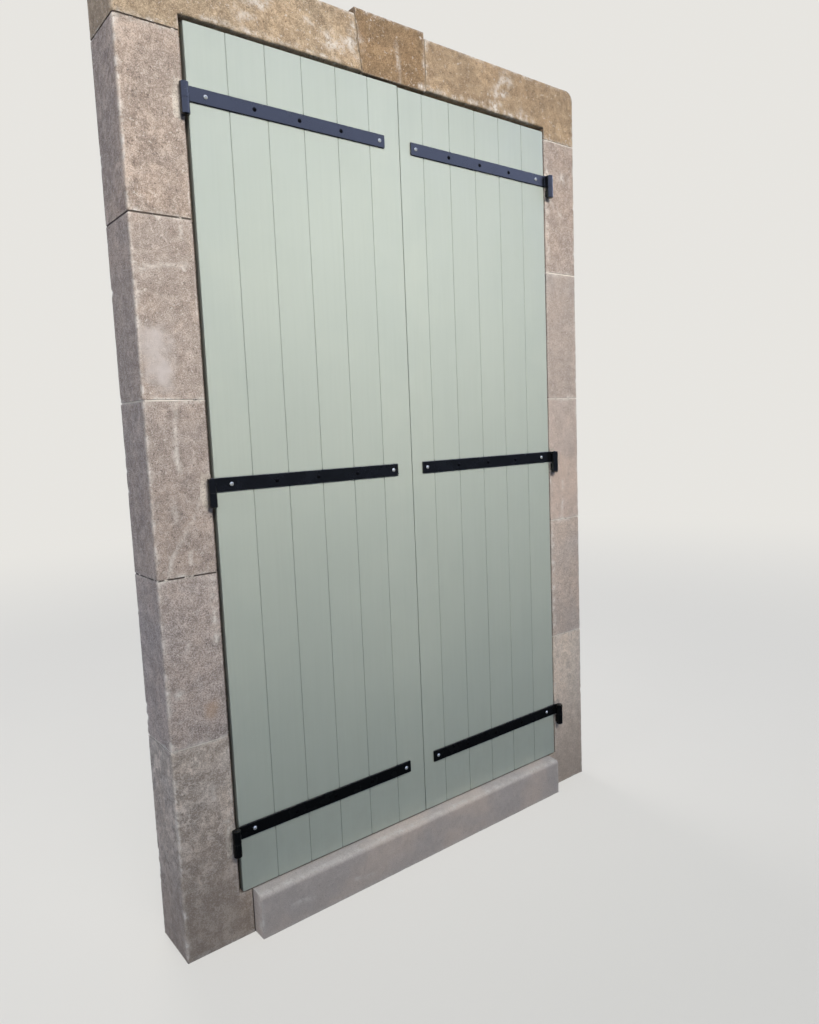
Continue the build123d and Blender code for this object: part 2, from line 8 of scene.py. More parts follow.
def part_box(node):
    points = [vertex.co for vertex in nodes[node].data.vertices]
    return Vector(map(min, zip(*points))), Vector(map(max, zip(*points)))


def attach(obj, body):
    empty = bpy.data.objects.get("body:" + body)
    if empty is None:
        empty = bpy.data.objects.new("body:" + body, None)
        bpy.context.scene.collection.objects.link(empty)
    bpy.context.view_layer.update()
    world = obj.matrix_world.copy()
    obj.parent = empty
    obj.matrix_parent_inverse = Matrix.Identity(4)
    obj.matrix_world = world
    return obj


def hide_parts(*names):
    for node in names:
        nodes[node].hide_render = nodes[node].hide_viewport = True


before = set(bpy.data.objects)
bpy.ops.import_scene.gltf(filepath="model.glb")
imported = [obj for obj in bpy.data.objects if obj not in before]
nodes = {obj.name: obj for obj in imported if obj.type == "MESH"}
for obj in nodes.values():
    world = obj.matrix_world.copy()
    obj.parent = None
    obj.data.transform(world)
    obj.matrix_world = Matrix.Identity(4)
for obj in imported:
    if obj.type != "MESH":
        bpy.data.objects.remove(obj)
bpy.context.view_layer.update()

# Places in metres, read off the CAD model

X, Z = 0, 2


def foot(node, axis):
    """Lowest coordinate of a CAD node along an axis, to a tenth of a millimetre."""
    return round(float(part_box(node)[0][axis]), 4)


def top(node, axis):
    """Highest coordinate of a CAD node along an axis, to a tenth of a millimetre."""
    return round(float(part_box(node)[1][axis]), 4)


def middle(low, high):
    """The place halfway between two others, to a tenth of a millimetre."""
    return round((low + high) / 2, 4)


def centre(node, axis):
    return middle(*(float(corner[axis]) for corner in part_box(node)))


LEVELS = tuple(centre(f"left_strap_{row}", Z) for row in ("bottom", "middle", "top"))
LEFT_AXIS = centre("left_pintle_bottom", X)
RIGHT_AXIS = centre("right_pintle_bottom", X)
LEFT_START = foot("left_board_1", X)
RIGHT_START = foot("right_board_1", X)
BOARD = round(foot("left_board_2", X) - LEFT_START, 4)
LEAF_FOOT = foot("left_board_1", Z)
LINTEL_FOOT = foot("lintel_left", Z)


def bed_above(node, next_node):
    """Height of the mortar bed between two stones."""
    return middle(top(node, Z), foot(next_node, Z))


DARK_JOINTS = (
    bed_above("left_jamb_stone_2", "left_jamb_stone_3"),
    bed_above("left_jamb_stone_4", "left_jamb_stone_5"),
    bed_above("left_jamb_stone_5", "lintel_left"),
)

# Sizes in metres that the boxes of the nodes don't give

FIRST_FIXING = 0.063
FIXING_PITCH = 0.142
STRAP_FACE = -0.005
OPENING_EDGE = 0.696
POCKET_WIDTH = 0.026
POCKET_BELOW = 0.0663
POCKET_ABOVE = 0.0313


# Colours, in linear light

def rgba(r, g, b):
    return (r, g, b, 1.0)


def shade(color, level, warmth=0.0):
    """A colour at another level, warmer or cooler."""
    return rgba(color[0] * level * (1 + warmth), color[1] * level, color[2] * level * (1 - warmth))


SAGE_PAINT = (0.452, 0.500, 0.440)
BRIGHT_ZINC = (0.52, 0.54, 0.51)
YELLOW_ZINC = (0.70, 0.66, 0.55)
POWDER_COAT = (0.0040, 0.0045, 0.0048)
BLACK_OXIDE = (0.0026, 0.0026, 0.0030)
ROD_COAT = (0.011, 0.011, 0.012)
SILL_STONE = (0.612, 0.540, 0.490)
FLECK = rgba(0.72, 0.67, 0.62)
PALE_SCAR_AND_HIGHLIGHT = rgba(0.76, 0.72, 0.67)
SALT_CRUST = rgba(0.600, 0.550, 0.530)
STONE_CREVICE_SHADE = rgba(0.080, 0.058, 0.042)
PALE_MORTAR = rgba(0.82, 0.77, 0.70)
BROWN_MORTAR = rgba(0.36, 0.285, 0.20)
DARK_MORTAR = rgba(0.110, 0.090, 0.075)
DULL_GROUT = rgba(0.46, 0.40, 0.35)
PALE_GROUT = rgba(0.70, 0.64, 0.57)
GROUT_PITS = rgba(0.19, 0.16, 0.13)
MUD = rgba(0.30, 0.28, 0.24)
SEAM_SHADE = rgba(0.050, 0.052, 0.042)
GROOVE_SHADE = rgba(0.045, 0.045, 0.036)
DUST = rgba(0.20, 0.185, 0.16)
BACKDROP = rgba(0.80, 0.785, 0.75)


# Node helpers

class Shader:
    """A material's node tree with short calls for the nodes used here."""

    def __init__(self, name):
        self.material = bpy.data.materials.new(name)
        self.material.use_nodes = True
        self.tree = self.material.node_tree
        self.bsdf = self.tree.nodes["Principled BSDF"]
        self.place = self.add("ShaderNodeTexCoord").outputs["Object"]

    def add(self, kind, **settings):
        node = self.tree.nodes.new(kind)
        for key, value in settings.items():
            setattr(node, key, value)
        return node

    def put(self, socket, value):
        if isinstance(value, bpy.types.NodeSocket):
            self.tree.links.new(value, socket)
        elif value is not None:
            socket.default_value = value

    def math(self, operation, a, b=None, clamp=False):
        node = self.add("ShaderNodeMath", operation=operation, use_clamp=clamp)
        self.put(node.inputs[0], a)
        self.put(node.inputs[1], b)
        return node.outputs[0]

    def shifted(self, seed):
        node = self.add("ShaderNodeVectorMath", operation="ADD")
        self.put(node.inputs[0], self.place)
        node.inputs[1].default_value = (seed, seed * 0.7, seed * 1.3)
        return node.outputs[0]

    def stretch(self, scale):
        node = self.add("ShaderNodeMapping")
        self.put(node.inputs["Vector"], self.place)
        node.inputs["Scale"].default_value = scale
        return node.outputs[0]

    def noise(self, scale, detail=3.0, rough=0.55, place=None, warp=0.0):
        node = self.add("ShaderNodeTexNoise")
        self.put(node.inputs["Vector"], place or self.place)
        node.inputs["Scale"].default_value = scale
        node.inputs["Detail"].default_value = detail
        node.inputs["Roughness"].default_value = rough
        node.inputs["Distortion"].default_value = warp
        return node.outputs["Fac"]

    def cells(self, scale, place=None):
        node = self.add("ShaderNodeTexVoronoi")
        self.put(node.inputs["Vector"], place or self.place)
        node.inputs["Scale"].default_value = scale
        return node.outputs["Distance"]

    def ramp(self, value, low, high, out_low=0.0, out_high=1.0):
        node = self.add("ShaderNodeMapRange", interpolation_type="SMOOTHSTEP")
        self.put(node.inputs["Value"], value)
        node.inputs["From Min"].default_value = low
        node.inputs["From Max"].default_value = high
        node.inputs["To Min"].default_value = out_low
        node.inputs["To Max"].default_value = out_high
        return node.outputs["Result"]

    def mix(self, factor, a, b, blend="MIX"):
        node = self.add("ShaderNodeMix", data_type="RGBA", blend_type=blend)
        for name, value in (("Factor_Float", factor), ("A_Color", a), ("B_Color", b)):
            socket = next(item for item in node.inputs if item.identifier == name)
            self.put(socket, value)
        return next(item for item in node.outputs if item.identifier == "Result_Color")

    def layer(self, color, pattern, start, full, share, over):
        """Lay one colour over another where a pattern goes from start to full."""
        return self.mix(self.ramp(pattern, start, full, 0.0, share), color, over)

    def painted(self, name):
        return self.add("ShaderNodeAttribute", attribute_name=name).outputs["Fac"]

    def axes(self):
        node = self.add("ShaderNodeSeparateXYZ")
        self.put(node.inputs[0], self.place)
        return node.outputs

    def bump(self, height, distance, strength=1.0, normal=None):
        node = self.add("ShaderNodeBump")
        self.put(node.inputs["Height"], height)
        node.inputs["Distance"].default_value = distance
        node.inputs["Strength"].default_value = strength
        self.put(node.inputs["Normal"], normal)
        return node.outputs["Normal"]

    def crevice(self, distance):
        node = self.add("ShaderNodeAmbientOcclusion", samples=8)
        node.inputs["Distance"].default_value = distance
        return node.outputs["AO"]

    def finish(self, color, roughness, normal=None, metallic=0.0):
        self.put(self.bsdf.inputs["Base Color"], color)
        self.put(self.bsdf.inputs["Roughness"], roughness)
        self.put(self.bsdf.inputs["Normal"], normal)
        self.put(self.bsdf.inputs["Metallic"], metallic)
        return self.material


# Materials

DAMP_FOOT, DAMP_TOP = 0.04, 0.50
STONE_RELIEF = 0.0016
CREVICE_SHADE_REACH = 0.014


def stone_material(name, tone, seed, grit, patchy, damp):
    """Sandy limestone: clouded and blotched, gritty, flecked, with pale scars and a painted highlight
    along its arrises, and painted shade in its gaps.
    """
    s = Shader(name)
    at = s.shifted(seed)
    clouds = s.ramp(s.noise(3.6, 3.0, 0.55, at, 0.4), 0.36, 0.64)
    color = s.mix(clouds, shade(tone, 1.08, 0.045), shade(tone, 0.93, -0.02))
    blotch = s.noise(19.0, 8.0, 0.70, at, 0.3)
    bloom = s.noise(11.0, 6.0, 0.66, s.shifted(seed + 9.0), 0.8)
    mottle = s.noise(42.0, 4.0, 0.62, at, 0.5)
    coarse = s.noise(110.0, 3.0, 0.70, at)
    fine = s.noise(340.0, 2.0, 0.8, at)
    flecks = s.noise(105.0, 3.0, 0.72, at, 0.6)
    pits = s.noise(150.0, 3.0, 0.6, s.shifted(seed + 4.0), 0.5)
    color = s.layer(color, blotch, 0.43, 0.66, 0.62 * patchy, shade(tone, 0.58, 0.01))
    color = s.layer(color, bloom, 0.52, 0.70, 0.55 * patchy, shade(tone, 1.50))
    color = s.layer(color, mottle, 0.50, 0.64, 0.42 * patchy, shade(tone, 0.62, 0.04))
    color = s.layer(color, mottle, 0.48, 0.36, 0.36 * patchy, shade(tone, 1.40, -0.03))
    color = s.layer(color, coarse, 0.50, 0.68, 0.26 * grit, shade(tone, 0.45, 0.04))
    color = s.layer(color, coarse, 0.47, 0.33, 0.22 * grit, shade(tone, 1.50, -0.03))
    color = s.layer(color, fine, 0.48, 0.64, 0.80 * grit, shade(tone, 0.42, 0.03))
    color = s.layer(color, fine, 0.48, 0.34, 0.70 * grit, shade(tone, 1.65, -0.03))
    color = s.layer(color, flecks, 0.62, 0.67, 0.85 * grit, FLECK)
    color = s.layer(color, pits, 0.62, 0.67, 0.80 * grit, shade(tone, 0.22, 0.05))
    color = s.layer(color, s.axes()[2], DAMP_TOP, DAMP_FOOT, damp, shade(tone, 0.52, 0.12))
    crumbs = s.ramp(s.noise(125.0, 3.0, 0.7, at), 0.34, 0.54)
    # The scar attribute holds chips, veins and blooms, and a painted highlight along the arrises and
    # the sill's nose
    color = s.mix(s.math("MULTIPLY", s.painted("scar"), crumbs), color, PALE_SCAR_AND_HIGHLIGHT)
    color = s.mix(s.painted("stain"), color, shade(tone, 0.80, 0.28))
    color = s.mix(s.painted("salt"), color, SALT_CRUST)
    # Painted shade in the gaps and recesses, from ambient occlusion
    color = s.layer(color, s.crevice(CREVICE_SHADE_REACH), 0.56, 0.10, 0.76, STONE_CREVICE_SHADE)
    height = s.math("ADD", coarse, s.math("MULTIPLY", fine, 0.45))
    normal = s.bump(height, STONE_RELIEF, 0.85)
    return s.finish(color, s.ramp(fine, 0.3, 0.7, 0.84, 0.96), normal)


DARK_SIDE = (-0.60, -0.50)
DARK_REACH = (0.012, 0.020)
BROWN_RISE = (LINTEL_FOOT + 0.006, LINTEL_FOOT + 0.021)


def mortar_material():
    """Sandy joint mortar, pale in most joints, brown beside the keystone and dark in a few."""
    s = Shader("mortar_joint")
    grain = s.noise(380.0, 4.0, 0.75)
    x, _, z = s.axes()
    soot = s.ramp(s.noise(45.0, 4.0), 0.42, 0.32, 0.0, 0.8)
    dark = s.math("MAXIMUM", soot, s.ramp(z, LEAF_FOOT + 0.002, LEAF_FOOT))
    left = s.ramp(x, *DARK_SIDE, 1.0, 0.0)
    broken = s.ramp(s.noise(36.0, 3.0), 0.62, 0.54)
    for level in DARK_JOINTS:
        away = s.math("ABSOLUTE", s.math("SUBTRACT", z, level))
        near = s.math("MULTIPLY", s.ramp(away, *DARK_REACH, 1.0, 0.0), left)
        dark = s.math("MAXIMUM", dark, s.math("MULTIPLY", near, broken))
    color = s.mix(s.ramp(z, *BROWN_RISE), PALE_MORTAR, BROWN_MORTAR)
    color = s.mix(dark, color, DARK_MORTAR)
    return s.finish(color, 0.93, s.bump(grain, 0.0009, 0.9))


def grout_material():
    """Pale mortar pressed round the pintles, close to the stone in tone."""
    s = Shader("mortar_patch")
    grain = s.noise(240.0, 5.0, 0.75)
    clouds = s.ramp(s.noise(34.0, 5.0, 0.7), 0.40, 0.62)
    color = s.layer(s.mix(clouds, DULL_GROUT, PALE_GROUT), grain, 0.48, 0.64, 0.7, GROUT_PITS)
    return s.finish(color, 0.92, s.bump(grain, 0.0014, 0.9))


SPLASH_FOOT, SPLASH_TOP = 0.14, 0.55
GROOVE = (0.004, 0.022)
BOARD_BACK = (0.024, 0.027)
SEAM_SHADE_REACH = 0.016


def paint_material(name, start):
    """Satin paint on boards: each board a shade of its own, faint grain, painted shade in the grooves
    and seams.
    """
    s = Shader(name)
    x, y, z = s.axes()
    number = s.math("FLOOR", s.math("DIVIDE", s.math("SUBTRACT", x, start), BOARD))
    pick = s.add("ShaderNodeTexWhiteNoise", noise_dimensions="1D")
    s.put(pick.inputs["W"], s.math("ADD", number, 3.5))
    grain = s.noise(1.0, 5.0, 0.62, s.stretch((95.0, 95.0, 3.5)), 0.3)
    clouds = s.ramp(s.noise(2.0, 4.0, 0.6), 0.35, 0.65)
    color = s.mix(clouds, shade(SAGE_PAINT, 1.03, 0.006), shade(SAGE_PAINT, 0.965, -0.006))
    color = s.layer(color, pick.outputs["Value"], 0.0, 1.0, 0.6, shade(SAGE_PAINT, 0.955, -0.004))
    color = s.layer(color, grain, 0.35, 0.70, 0.05, shade(SAGE_PAINT, 0.55))
    low = s.ramp(z, SPLASH_TOP, SPLASH_FOOT)
    splash = s.math("MULTIPLY", low, s.ramp(s.noise(14.0, 5.0, 0.7), 0.35, 0.8))
    color = s.mix(s.math("MULTIPLY", splash, 0.16), color, MUD)
    facing = s.add("ShaderNodeSeparateXYZ")
    s.put(facing.inputs[0], s.add("ShaderNodeNewGeometry").outputs["True Normal"])
    sideways = s.ramp(s.math("ABSOLUTE", facing.outputs[0]), 0.80, 0.95, 1.0, 0.25)
    # Painted shade in the seams between boards and leaves, from ambient occlusion, less on faces that
    # look sideways
    seam_shade = s.math("MULTIPLY", s.ramp(s.crevice(SEAM_SHADE_REACH), 0.28, 0.88, 0.80, 0.0), sideways)
    color = s.mix(seam_shade, color, SEAM_SHADE)
    # Painted shade down the sides of the grooves, by depth into the boards
    groove = s.math("MULTIPLY", s.ramp(y, *GROOVE, 0.0, 0.85), s.ramp(y, *BOARD_BACK, 1.0, 0.0))
    color = s.mix(groove, color, GROOVE_SHADE)
    peel = s.noise(520.0, 2.0)
    normal = s.bump(grain, 0.00026, 0.5)
    normal = s.bump(peel, 0.00008, 0.5, normal)
    return s.finish(color, s.ramp(s.noise(5.0, 4.0), 0.3, 0.7, 0.44, 0.54), normal)


DULL_FOOT, DULL_TOP = 0.30, 1.30


def iron_material(name, tint, roughness, dust_share, gloss):
    """Black powder coat with an orange-peel skin, duller low down, with dust on its upper faces."""
    s = Shader(name)
    skin = s.noise(620.0, 2.0, 0.5)
    cloud = s.noise(16.0, 4.0)
    facing = s.add("ShaderNodeNewGeometry")
    up = s.add("ShaderNodeSeparateXYZ")
    s.put(up.inputs[0], facing.outputs["Normal"])
    dust = s.math("MULTIPLY", s.ramp(up.outputs[2], 0.45, 0.95), s.ramp(s.noise(60.0, 4.0), 0.35, 0.7))
    color = s.mix(cloud, shade(tint, 0.8), shade(tint, 1.35))
    color = s.mix(s.math("MULTIPLY", dust, dust_share), color, DUST)
    normal = s.bump(skin, 0.00009, 0.6)
    sheen = s.ramp(s.axes()[2], DULL_FOOT, DULL_TOP, 0.2 * gloss, gloss)
    s.put(s.bsdf.inputs["Specular IOR Level"], sheen)
    return s.finish(color, s.ramp(cloud, 0.3, 0.7, roughness - 0.03, roughness + 0.05), normal)


def zinc_material(name, color, roughness):
    """Zinc plating with a fine spangle, with painted shade in the drive."""
    s = Shader(name)
    spangle = s.cells(900.0)
    tone = s.layer(rgba(*color), spangle, 0.1, 0.8, 0.45, shade(color, 0.7))
    # Painted shade in the drive, from ambient occlusion
    tone = s.layer(tone, s.crevice(0.0030), 0.85, 0.45, 0.85, shade(color, 0.12))
    normal = s.bump(s.noise(1500.0, 2.0), 0.00003, 0.6)
    return s.finish(tone, s.ramp(spangle, 0.0, 0.9, roughness, roughness + 0.12), normal, 0.38)


paint = {
    "left": paint_material("sage_paint_left", LEFT_START),
    "right": paint_material("sage_paint_right", RIGHT_START),
}
black = iron_material("black_powder_coat", POWDER_COAT, roughness=0.25, dust_share=0.35, gloss=0.50)
black_screw = iron_material("black_oxide", BLACK_OXIDE, roughness=0.50, dust_share=0.10, gloss=0.06)
black_inside = iron_material("black_rod_coat", ROD_COAT, roughness=0.38, dust_share=0.30, gloss=0.50)
zinc = zinc_material("bright_zinc", BRIGHT_ZINC, roughness=0.38)
passivated = zinc_material("passivated_zinc", YELLOW_ZINC, roughness=0.34)
mortar = mortar_material()
grout = grout_material()
ROD_NODES = ("locking_rod", "rod_handle", "handle_pin", "rod_collars", "rod_keepers", "handle_rest")


def dress(obj, material):
    """Give an object one material in place of those it came with."""
    obj.data.materials.clear()
    obj.data.materials.append(material)


for name, obj in nodes.items():
    side = name.split("_")[0]
    if "_board_" in name or ("_ledge_" in name and "screws" not in name):
        dress(obj, paint[side])
    elif name.endswith(("bolts", "nuts")):
        dress(obj, zinc)
    elif name.endswith("ledge_screws"):
        dress(obj, passivated)
    elif name.endswith("strap_screws"):
        dress(obj, black_screw)
    elif "_strap_" in name or "_pintle_" in name:
        dress(obj, black)
    elif name == "mortar_joints":
        dress(obj, mortar)
    elif name == "pintle_grout":
        dress(obj, grout)
    elif name in ROD_NODES:
        dress(obj, black_inside)


# Mesh helpers

def skin(bm, rings):
    """Join rings of equal count with quads."""
    for a, b in zip(rings[:-1], rings[1:]):
        for i in range(len(a)):
            j = (i + 1) % len(a)
            bm.faces.new((a[i], a[j], b[j], b[i]))


def smooth_mesh(bm, name, angle):
    """A mesh datablock with smooth faces and sharp creases."""
    mesh = bpy.data.meshes.new(name)
    bm.to_mesh(mesh)
    bm.free()
    mesh.polygons.foreach_set("use_smooth", [True] * len(mesh.polygons))
    mesh.set_sharp_from_angle(angle=math.radians(angle))
    return mesh


def add_piece(mesh, name, material, body, replaced):
    """Put a mesh in the scene as a piece that rides a body."""
    obj = bpy.data.objects.new(name, mesh)
    bpy.context.scene.collection.objects.link(obj)
    dress(obj, material)
    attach(obj, body)
    if replaced:
        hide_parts(replaced)
    return obj


# Marks on the front of the stones, as (x, z) in metres along each mark
# Chips, blooms, salt and stain also hold how far they reach

VEINS = (
    ((-0.724, 1.309), (-0.754, 1.249), (-0.796, 1.186), (-0.821, 1.148), (-0.832, 1.104)),
    ((-0.780, 1.567), (-0.785, 1.493), (-0.788, 1.422), (-0.778, 1.373)),
    ((-0.313, 2.649), (-0.264, 2.630), (-0.197, 2.604), (-0.126, 2.583)),
    ((0.016, 2.668), (0.026, 2.558)),
    ((-0.808, 1.309), (-0.799, 1.254)),
    ((0.720, 2.310), (0.752, 2.268), (0.790, 2.250)),
    ((0.770, 1.180), (0.762, 1.090)),
    ((-0.553, 0.063), (-0.511, 0.064), (-0.473, 0.053)),
    ((-0.328, 0.050), (-0.282, 0.037), (-0.246, 0.039)),
)
STROKES = (
    ((-0.862, 1.898), (-0.832, 1.908), (-0.792, 1.917), (-0.719, 1.924)),
    ((-0.767, 1.160), (-0.769, 1.130)),
    ((-0.728, 2.025), (-0.731, 1.994)),
    ((-0.756, 0.494), (-0.754, 0.448)),
    ((-0.789, 0.915), (-0.797, 0.896)),
    ((0.771, 1.240), (0.772, 1.205)),
)
CHIPS = (
    ((-0.861, 1.922), 0.010),
    ((-0.855, 1.844), 0.012),
    ((-0.727, 1.914), 0.008),
    ((-0.146, 2.676), 0.012),
    ((-0.132, 2.640), 0.014),
    ((-0.862, 0.640), 0.012),
    ((-0.828, 0.776), 0.022),
    ((-0.715, 0.372), 0.012),
    ((0.722, 2.299), 0.012),
    ((0.700, 0.420), 0.012),
)
BLOOMS = (
    (((0.504, 2.671), (0.436, 2.576)), 0.050),
    (((0.634, 2.540), (0.590, 2.580)), 0.034),
    (((-0.231, 2.612), (-0.142, 2.630)), 0.050),
    (((-0.518, 2.606), (-0.440, 2.655)), 0.036),
    (((0.108, 2.562), (0.640, 2.558)), 0.016),
    (((-0.650, 2.562), (-0.200, 2.562)), 0.012),
    (((0.712, 2.450), (0.710, 2.080)), 0.016),
    (((0.706, 1.040), (0.704, 0.660)), 0.018),
    (((0.830, 2.380), (0.765, 2.400)), 0.026),
    (((-0.712, 1.080), (-0.712, 0.900)), 0.014),
)
SALT = (((-0.826, 1.735), (-0.812, 1.680), (-0.806, 1.620)), 0.056)
STAIN = (((-0.739, 0.724), (-0.745, 0.705)), 0.034)
VEIN_REACH = 0.0105
STROKE_REACH = 0.008


def along(point, line):
    """Distance in the plane of the front from a point to a line of straight stretches."""
    best = 9.0
    for a, b in zip(line[:-1], line[1:]):
        ax, az = a
        dx, dz = b[0] - ax, b[1] - az
        share = ((point[0] - ax) * dx + (point[1] - az) * dz) / (dx * dx + dz * dz)
        share = min(1.0, max(0.0, share))
        best = min(best, math.hypot(point[0] - ax - dx * share, point[1] - az - dz * share))
    return best


def soft(distance, reach):
    """1 on a mark, falling to 0 at its reach."""
    share = min(1.0, max(0.0, 1.0 - distance / reach))
    return share * share * (3 - 2 * share)


def marks_at(place):
    """How much of a vein or chip, of bloom, salt and stain shows at a point of the stones."""
    flat = (place.x, place.z)
    broken = 0.5 + 0.8 * noise.noise(place * 31.0)
    scar = min(1.0, max(soft(along(flat, line), VEIN_REACH) for line in VEINS) * 0.95 * broken)
    scar = max(scar, max(soft(along(flat, line), STROKE_REACH) for line in STROKES) * 0.65)
    for (x, z), reach in CHIPS:
        gap = math.hypot(flat[0] - x, flat[1] - z) + 0.004 * noise.noise(place * 120.0)
        scar = max(scar, soft(gap, reach))
    scaly = min(1.0, max(0.0, 0.35 + 1.7 * noise.noise(place * 41.0)))
    bloom = max(soft(along(flat, line), reach) for line, reach in BLOOMS) * scaly
    ragged = 0.022 * noise.noise(place * 24.0) + 0.016 * noise.noise(place * 75.0)
    salt = soft(along(flat, SALT[0]) + ragged, SALT[1]) * (0.80 + 0.30 * noise.noise(place * 50.0))
    stain = soft(along(flat, STAIN[0]) + 0.014 * noise.noise(place * 40.0), STAIN[1]) * 0.50
    return scar, bloom, salt, stain


# Stones: the CAD shape, cut into a fine net and worn

SHARP = math.radians(28)
SLACK_ACROSS = 0.0005
SLACK_ALONG = 0.001
RIM_REACH = 0.014
SCAR_DEPTH = 0.004
LEVEL_EDGE_SHARE = 0.15


def cut_net(bm, low, high, steps):
    """Cut a mesh by evenly spaced planes across each axis."""
    for axis, step in enumerate(steps):
        count = max(1, round((high[axis] - low[axis]) / step))
        across = Vector([1.0 if axis == i else 0.0 for i in range(3)])
        for i in range(1, count):
            place = Vector(low)
            place[axis] = low[axis] + (high[axis] - low[axis]) * i / count
            everything = bm.verts[:] + bm.edges[:] + bm.faces[:]
            bmesh.ops.bisect_plane(bm, geom=everything, dist=1e-6, plane_co=place, plane_no=across)


def by_a_pintle(place):
    """Whether a point lies at the pocket of a pintle, where the stone keeps its shape."""
    if abs(abs(place.x) - OPENING_EDGE - POCKET_WIDTH / 2) > POCKET_WIDTH / 2 + SLACK_ACROSS:
        return False
    low, high = -POCKET_BELOW - SLACK_ALONG, POCKET_ABOVE + SLACK_ALONG
    return any(low < place.z - level < high for level in LEVELS)


def arris_verts(bm):
    """The vertices on the sharp edges of a mesh."""
    found = set()
    for edge in bm.edges:
        if len(edge.link_faces) == 2 and edge.calc_face_angle(0.0) > SHARP:
            found.update(edge.verts)
    return found


def rim_flecks_and_highlight_at(p, q, low, high, rim_flecks_and_highlight):
    """How pale the front is near the outline of a stone: flecks of wear, and a painted highlight along
    the arrises.
    """
    edge = min(p.x - low.x, high.x - p.x, p.z - low.z, high.z - p.z)
    flecks_and_highlight = rim_flecks_and_highlight + (1.9 - 2.4 * rim_flecks_and_highlight) * noise.noise(q * 42.0)
    return soft(edge, RIM_REACH) * max(0.0, flecks_and_highlight)


def bite_at(q):
    """How much is broken off an arris."""
    bite = noise.noise(q * 13.0) + 0.75 * noise.noise(q * 48.0)
    return max(0.0, bite + 0.45 * noise.noise(q * 130.0) - 0.42)


def worn_stone(node, material, steps, wear, chips, seed, rim_flecks_and_highlight, front_depth):
    """Replace a stone by a copy with uneven faces, broken arrises and painted marks."""
    bm = bmesh.new()
    bm.from_mesh(nodes[node].data)
    bmesh.ops.remove_doubles(bm, verts=bm.verts, dist=1e-6)
    bmesh.ops.dissolve_limit(bm, angle_limit=math.radians(1), verts=bm.verts, edges=bm.edges)
    low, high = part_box(node)
    cut_net(bm, low, high, steps)
    bm.normal_update()
    offset = Vector((seed, seed * 1.7, seed * 0.6))
    arris = arris_verts(bm)
    front = low[1] + front_depth
    moves = []
    paint_layers = {"scar": [], "salt": [], "stain": []}
    for vert in bm.verts:
        p = vert.co.copy()
        q = p + offset
        shown = p.y < front
        scar, bloom, salt, stain = marks_at(p) if shown else (0.0, 0.0, 0.0, 0.0)
        rim = rim_flecks_and_highlight_at(p, q, low, high, rim_flecks_and_highlight) if shown else 0.0
        if by_a_pintle(p):
            moves.append(p)
        else:
            inward = wear * (0.8 + 0.9 * noise.noise(q * 7.0) + 0.6 * noise.noise(q * 60.0))
            if vert in arris:
                bite = bite_at(q)
                upright = min(p.z - low.z, high.z - p.z) > 0.001
                inward += wear * (0.9 + noise.noise(q * 90.0))
                inward += chips * bite * (1.0 if upright else LEVEL_EDGE_SHARE)
                # Every arris is pale, more where it is broken: chipped stone, and a painted highlight
                rim = max(rim, min(1.0, 0.10 + 2.6 * bite + 0.5 * max(0.0, noise.noise(q * 33.0))))
            inward += SCAR_DEPTH * scar * scar
            moves.append(p - vert.normal * max(0.0, inward))
        paint_layers["scar"].append(min(1.0, max(scar, rim, bloom)))
        paint_layers["salt"].append(salt)
        paint_layers["stain"].append(stain)
    for vert, place in zip(bm.verts, moves):
        for axis in range(3):
            vert.co[axis] = min(max(place[axis], low[axis]), high[axis])
    mesh = smooth_mesh(bm, "worn_" + node, 38)
    for layer_name, values in paint_layers.items():
        mesh.attributes.new(layer_name, "FLOAT", "POINT").data.foreach_set("value", values)
    return add_piece(mesh, "worn_" + node, material, "frame", node)


# Colour, grit and patchiness of each stone
STONES = {
    "left_jamb_stone_1": ((0.570, 0.497, 0.436), 0.72, 2.0),
    "left_jamb_stone_2": ((0.485, 0.420, 0.385), 0.95, 1.3),
    "left_jamb_stone_3": ((0.440, 0.375, 0.335), 0.82, 1.4),
    "left_jamb_stone_4": ((0.460, 0.385, 0.335), 0.85, 1.4),
    "left_jamb_stone_5": ((0.450, 0.370, 0.315), 0.78, 1.6),
    "right_jamb_stone_1": ((0.740, 0.640, 0.550), 0.60, 0.8),
    "right_jamb_stone_2": ((0.545, 0.465, 0.410), 0.60, 0.7),
    "right_jamb_stone_3": ((0.540, 0.450, 0.395), 0.55, 0.6),
    "right_jamb_stone_4": ((0.430, 0.375, 0.340), 0.60, 0.6),
    "right_jamb_stone_5": ((0.475, 0.390, 0.335), 0.80, 1.1),
    # The lintel stones' warmer colours are partly their own and partly painted warm light on the top of
    # the surround
    "lintel_left": ((0.455, 0.350, 0.240), 0.75, 1.5),
    "lintel_keystone": ((0.312, 0.214, 0.124), 0.75, 1.4),
    "lintel_right": ((0.425, 0.312, 0.202), 0.75, 1.4),
}
STONE_DAMP = 0.55
STONE_NET = (0.008, 0.020, 0.008)
SILL_NET = (0.010, 0.014, 0.008)
for number, (stone, (tone, grit, patchy)) in enumerate(STONES.items()):
    material = stone_material("limestone_" + stone, tone, 2.3 + 3.1 * number, grit, patchy, STONE_DAMP)
    worn_stone(
        stone,
        material,
        STONE_NET,
        wear=0.0004,
        chips=0.0055,
        seed=1.9 + 5.3 * number,
        rim_flecks_and_highlight=0.15,
        front_depth=0.004,
    )
sill_material = stone_material(
    "limestone_sill",
    SILL_STONE,
    seed=31.0,
    grit=0.26,
    patchy=0.24,
    damp=0.0,
)
# The sill's wide pale rim along its rounded nose is a painted highlight
worn_stone(
    "sill",
    sill_material,
    SILL_NET,
    wear=0.0003,
    chips=0.0045,
    seed=77.0,
    rim_flecks_and_highlight=0.50,
    front_depth=0.016,
)


# Mortar pressed round the pintles, over the pockets

PATCH_OFFSET = 0.0150
PATCH_HALF_WIDTH = 0.0185
PATCH_HALF_HEIGHT = 0.0560
PATCH_THICKNESS = 0.0016
PATCH_ROOT = 0.0030
PATCH_CORNER = 3.2
PATCH_TURNS = 40
PATCH_RINGS = 7


